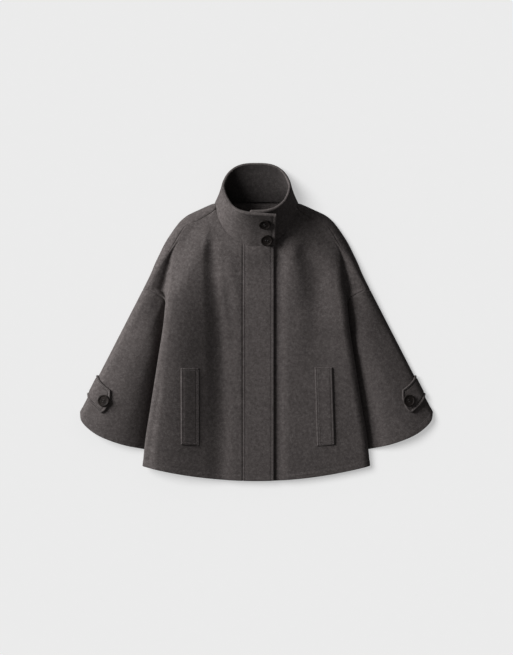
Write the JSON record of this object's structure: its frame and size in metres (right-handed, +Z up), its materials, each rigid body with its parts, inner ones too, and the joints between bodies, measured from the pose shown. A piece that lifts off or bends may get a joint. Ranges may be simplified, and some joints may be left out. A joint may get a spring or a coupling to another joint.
{
  "type": "wool cape coat",
  "caption": "Boxy cape-cut wool coat laid flat on its back, with a funnel collar, hidden-button placket, welt pockets, wide short sleeves and buttoned cuff tabs.",
  "frame": {"origin": "on the surface that the coat lies on, under the middle of its bounding box", "axes": "+X to the wearer's left (right in the picture), +Y from the hem to the collar, +Z up from the surface, out of the coat's front"},
  "size_m": [0.8456, 0.7616, 0.1099],
  "materials": {
    "wool": "dark warm grey heathered wool melton with a short brushed nap, matt",
    "horn": "near-black mottled horn-look button, half gloss"
  },
  "bodies": {
    "root": {"back_panel": "wool", "front_right": "wool", "front_left": "wool", "front_placket": "wool", "collar": "wool", "sleeve_right": "wool", "sleeve_left": "wool", "sleeve_tab_right": "wool", "sleeve_tab_left": "wool", "pocket_welt_right": "wool", "pocket_welt_left": "wool", "collar_button_1": "horn", "collar_button_2": "horn", "sleeve_button_right": "horn", "sleeve_button_left": "horn"}
  },
  "joints": []
}
